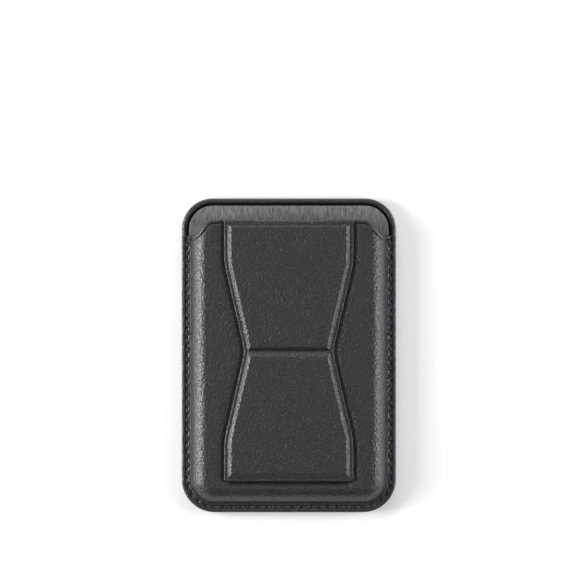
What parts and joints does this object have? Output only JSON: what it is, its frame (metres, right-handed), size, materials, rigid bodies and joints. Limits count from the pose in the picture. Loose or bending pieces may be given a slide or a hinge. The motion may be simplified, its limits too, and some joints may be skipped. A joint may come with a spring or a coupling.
{
  "type": "magnetic phone card holder",
  "caption": "Slim leather card pocket that clings by magnets to the back of a phone, with an hourglass strip on its front that folds out as a stand.",
  "frame": {"origin": "centre of the flat magnetic back, on the surface that it lies on", "axes": "+X to the right seen from the front, +Y towards the pocket's mouth, +Z out of the front face"},
  "size_m": [0.0644, 0.0944, 0.0106],
  "materials": {
    "black_leather": "fine-grained coated leather, satin",
    "napped_lining": "short napped lining, matt",
    "carrier_plastic": "moulded, matt",
    "fibreboard": "pressed fibreboard",
    "steel_sheet": "cold-rolled, dull",
    "plated_magnet": "nickel-plated, satin"
  },
  "bodies": {
    "wallet": {"back_skin": "black_leather", "magnet_carrier": "carrier_plastic", "align_magnet": "plated_magnet", "magnet_yoke": "steel_sheet", "pocket_lining": "napped_lining", "front_cover": "black_leather", "front_board": "fibreboard", "front_lining": "napped_lining", "keeper_plate": "steel_sheet", "stand_wrap": "black_leather", "ring_magnet_01": "plated_magnet", "ring_magnet_02": "plated_magnet", "ring_magnet_03": "plated_magnet", "ring_magnet_04": "plated_magnet", "ring_magnet_05": "plated_magnet", "ring_magnet_06": "plated_magnet", "ring_magnet_07": "plated_magnet", "ring_magnet_08": "plated_magnet", "ring_magnet_09": "plated_magnet", "ring_magnet_10": "plated_magnet", "ring_magnet_11": "plated_magnet", "ring_magnet_12": "plated_magnet", "ring_magnet_13": "plated_magnet", "ring_magnet_14": "plated_magnet", "ring_magnet_15": "plated_magnet", "ring_magnet_16": "plated_magnet"},
    "stand_upper": {"stand_upper_skin": "black_leather", "stand_upper_board": "fibreboard", "stand_upper_lining": "black_leather"},
    "stand_lower": {"stand_lower_skin": "black_leather", "stand_lower_board": "fibreboard", "stand_lower_lining": "black_leather", "closure_magnet_1": "plated_magnet", "closure_magnet_2": "plated_magnet", "closure_magnet_3": "plated_magnet"}
  },
  "joints": [
    {"name": "stand_hinge", "type": "hinge", "parent": "wallet", "child": "stand_upper", "pos_m": [0, 0.0394, 0.00925], "axis": [-1, 0, 0], "range_deg": [0, 65]},
    {"name": "stand_fold", "type": "hinge", "parent": "stand_upper", "child": "stand_lower", "pos_m": [0, 0.00112, 0.0088], "axis": [1, 0, 0], "range_deg": [0, 128]}
  ],
  "couplings": [
    {"joint": "stand_fold", "follows": "stand_hinge", "ratio": 1.96}
  ]
}
